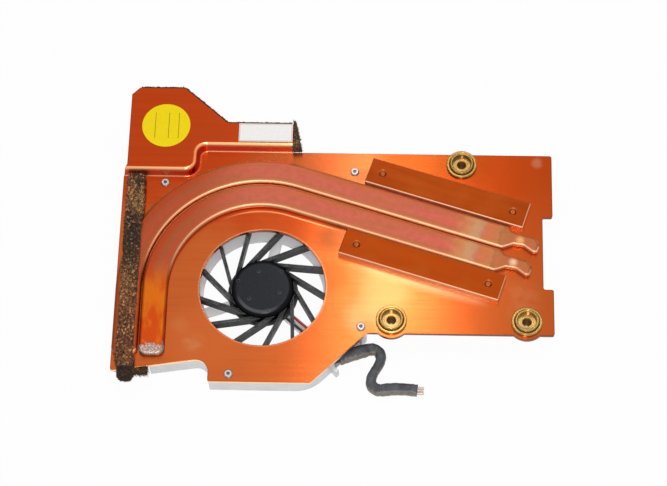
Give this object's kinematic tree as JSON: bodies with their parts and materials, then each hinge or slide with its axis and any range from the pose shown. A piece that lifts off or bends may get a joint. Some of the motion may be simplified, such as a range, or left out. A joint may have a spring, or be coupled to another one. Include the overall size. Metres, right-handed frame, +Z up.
{
  "type": "laptop cooling fan heatsink",
  "caption": "Flat laptop cooler: a blower under a brushed copper plate, with flattened heat pipes, bars, sprung screw bushes, fin stacks, foam seals and a short cut fan cable.",
  "frame": {"origin": "the fan's axis at the underside of the housing", "axes": "+X to the right along the plate, towards the screw bushes; +Y to the rear, towards the raised duct; +Z up"},
  "size_m": [0.1412, 0.1068, 0.0114],
  "materials": {
    "copper_sheet": "brushed",
    "copper_pipe": "satin, tarnished",
    "copper_bar": "satin",
    "copper_pin": "satin",
    "copper_fin": "satin",
    "turned_brass": "turned",
    "spring_steel": "bright",
    "housing_metal": "satin",
    "rivet_metal": "satin",
    "impeller_plastic": "satin",
    "motor_steel": "satin",
    "magnet": "matt",
    "winding": "lacquered",
    "bearing": "sintered",
    "board": "lacquered",
    "foam": "worn",
    "yellow_label": "satin",
    "white_label": "satin",
    "cable_black": "satin",
    "lead_red": "gloss",
    "lead_white": "gloss",
    "lead_black": "gloss"
  },
  "bodies": {
    "cooler": {"cover_plate": "copper_sheet", "inner_heat_pipe": "copper_pipe", "outer_heat_pipe": "copper_pipe", "upper_bar": "copper_bar", "lower_bar": "copper_bar", "contact_block": "copper_bar", "bar_pins": "copper_pin", "left_fins": "copper_fin", "duct_fins": "copper_fin", "front_left_bush_collar": "turned_brass", "front_right_bush_collar": "turned_brass", "rear_bush_collar": "turned_brass", "front_left_bush_spring": "spring_steel", "front_right_bush_spring": "spring_steel", "rear_bush_spring": "spring_steel", "fan_housing": "housing_metal", "housing_rivets": "rivet_metal", "stator_core": "motor_steel", "stator_coils": "winding", "bearing_sleeve": "bearing", "motor_board": "board", "left_foam_strip": "foam", "duct_end_foam": "foam", "duct_rear_foam": "foam", "corner_foam": "foam", "round_label": "yellow_label", "white_label": "white_label", "cable_sleeve": "cable_black", "red_lead": "lead_red", "red_lead_end": "lead_red", "white_lead": "lead_white", "white_lead_end": "lead_white", "black_lead": "lead_black", "black_lead_end": "lead_black"},
    "rotor": {"impeller": "impeller_plastic", "rotor_yoke": "motor_steel", "rotor_magnet": "magnet", "rotor_shaft": "motor_steel"},
    "front_left_bush": {"front_left_bush_sleeve": "turned_brass", "front_left_bush_clip": "spring_steel"},
    "front_right_bush": {"front_right_bush_sleeve": "turned_brass", "front_right_bush_clip": "spring_steel"},
    "rear_bush": {"rear_bush_sleeve": "turned_brass", "rear_bush_clip": "spring_steel"}
  },
  "joints": [
    {"name": "fan_spin", "type": "hinge", "parent": "cooler", "child": "rotor", "pos_m": [0, 0, 0.004], "axis": [0, 0, 1], "continuous": true},
    {"name": "front_left_press", "type": "slide", "parent": "cooler", "child": "front_left_bush", "axis": [0, 0, 1], "range_m": [-0.0015, 0], "stiffness_N_per_m": 1500, "deforming": ["front_left_bush_spring"]},
    {"name": "front_right_press", "type": "slide", "parent": "cooler", "child": "front_right_bush", "axis": [0, 0, 1], "range_m": [-0.0015, 0], "stiffness_N_per_m": 1500, "deforming": ["front_right_bush_spring"]},
    {"name": "rear_press", "type": "slide", "parent": "cooler", "child": "rear_bush", "axis": [0, 0, 1], "range_m": [-0.0015, 0], "stiffness_N_per_m": 1500, "deforming": ["rear_bush_spring"]}
  ]
}
